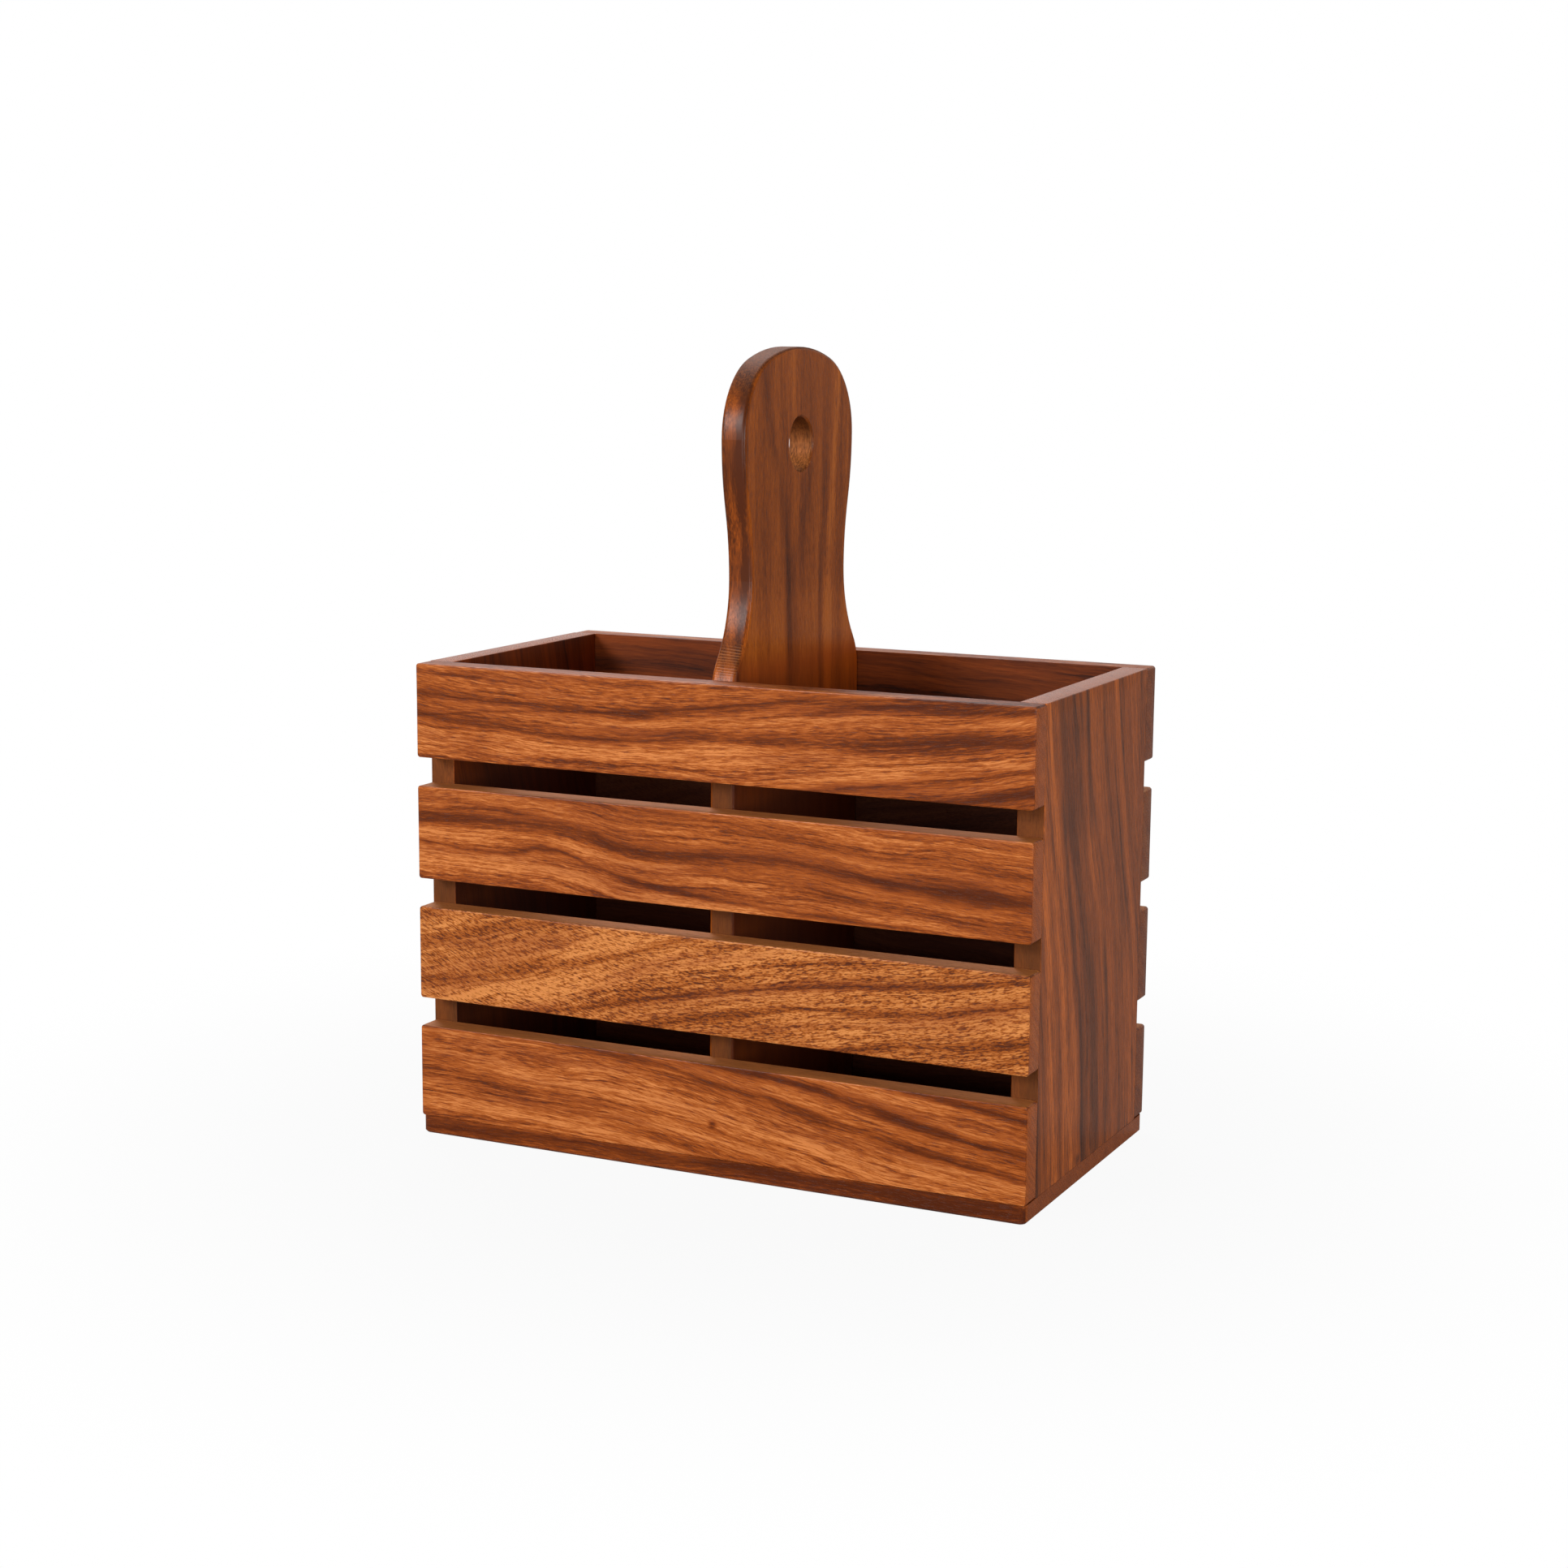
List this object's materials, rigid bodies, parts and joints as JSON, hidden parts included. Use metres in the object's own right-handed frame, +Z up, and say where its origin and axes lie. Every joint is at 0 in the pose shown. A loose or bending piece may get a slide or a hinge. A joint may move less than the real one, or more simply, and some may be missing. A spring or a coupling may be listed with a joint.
{
  "type": "cutlery caddy",
  "caption": "Slatted hardwood cutlery caddy with two open bays and a paddle handle with a hanging hole.",
  "frame": {"origin": "centre of the footprint, on the surface that the base stands on", "axes": "+X along the length of the caddy, +Y towards the back slats, +Z up towards the handle"},
  "size_m": [0.25, 0.13, 0.3035],
  "materials": {
    "slat_wood": "satin lacquer, grain along the slat",
    "panel_wood": "satin lacquer, grain upright",
    "handle_wood": "satin lacquer, grain upright",
    "base_wood": "satin lacquer, grain along the length",
    "brad_steel": "galvanised wire",
    "screw_steel": "zinc plated"
  },
  "bodies": {
    "root": {"base_board": "base_wood", "left_end_panel": "panel_wood", "right_end_panel": "panel_wood", "divider_handle": "handle_wood", "front_slat_1": "slat_wood", "front_slat_2": "slat_wood", "front_slat_3": "slat_wood", "front_slat_4": "slat_wood", "back_slat_1": "slat_wood", "back_slat_2": "slat_wood", "back_slat_3": "slat_wood", "back_slat_4": "slat_wood", "front_slat_brads": "brad_steel", "back_slat_brads": "brad_steel", "base_screws": "screw_steel"}
  },
  "joints": []
}
